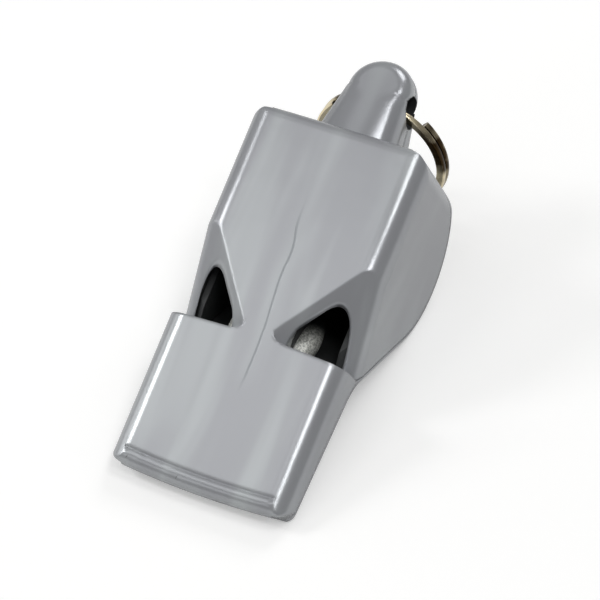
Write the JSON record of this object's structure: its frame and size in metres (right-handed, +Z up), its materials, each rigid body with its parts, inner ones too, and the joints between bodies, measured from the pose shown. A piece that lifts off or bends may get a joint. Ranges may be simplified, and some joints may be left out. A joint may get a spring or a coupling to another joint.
{
  "type": "sports whistle",
  "caption": "Pealess whistle with a flat top, sloped shoulder windows, a round belly and a lug that holds a split ring; blown to make a loud call",
  "frame": {"origin": "On the table, under the middle of the bounding box, with the whistle resting on its belly and on the lower corners of its tip", "axes": "X across the whistle, Y from the mouthpiece to the lug, Z up from the table"},
  "size_m": [0.022, 0.0526, 0.0226],
  "materials": {
    "shell": "silver-grey ABS moulding with a soft gloss",
    "core": "grey ABS moulding, lightly textured",
    "ring": "nickel-plated spring steel, slightly warm"
  },
  "bodies": {
    "whistle": {"upper_shell": "shell", "lower_shell": "shell", "chamber_insert": "core"},
    "ring": {"split_ring": "ring"}
  },
  "joints": [
    {"name": "ring_swing", "type": "hinge", "parent": "whistle", "child": "ring", "pos_m": [0, 0.02154, 0.01824], "axis": [1, 0, 0], "range_deg": [-14, 200]}
  ]
}
